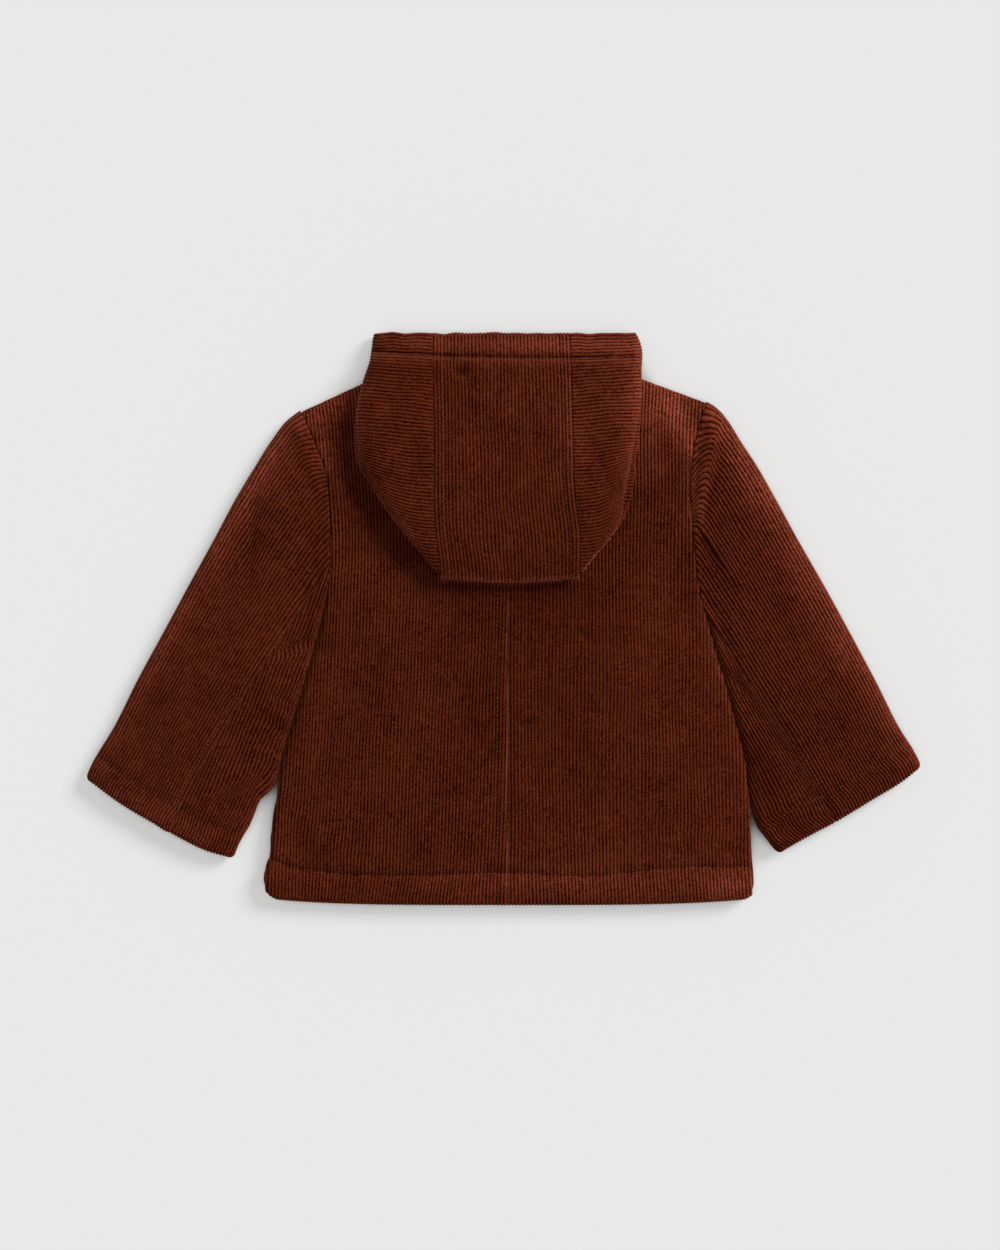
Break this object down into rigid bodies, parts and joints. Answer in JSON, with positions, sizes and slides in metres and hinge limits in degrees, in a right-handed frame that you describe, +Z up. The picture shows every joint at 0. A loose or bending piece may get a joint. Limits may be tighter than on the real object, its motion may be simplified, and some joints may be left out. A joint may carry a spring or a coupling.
{
  "type": "baby's hooded corduroy coat",
  "caption": "Baby's padded A-line coat in rust corduroy, lying flat and face down, with long sleeves and its seamed hood folded down onto its back.",
  "frame": {"origin": "on the surface the coat lies on, under the middle of its outline", "axes": "+Z up from the surface, +Y towards the hood, +X towards the coat's right sleeve"},
  "size_m": [0.5394, 0.369, 0.0242],
  "materials": {
    "corduroy": "rust-brown cotton corduroy, eleven wales to the inch, matt with a soft pile sheen",
    "thread": "rust-brown sewing thread"
  },
  "bodies": {
    "root": {"back_left": "corduroy", "back_right": "corduroy", "front_left": "corduroy", "front_right": "corduroy", "sleeve_left_top": "corduroy", "sleeve_left_under": "corduroy", "sleeve_right_top": "corduroy", "sleeve_right_under": "corduroy", "hood_side_left": "corduroy", "hood_side_right": "corduroy", "hood_centre": "corduroy"}
  },
  "joints": []
}
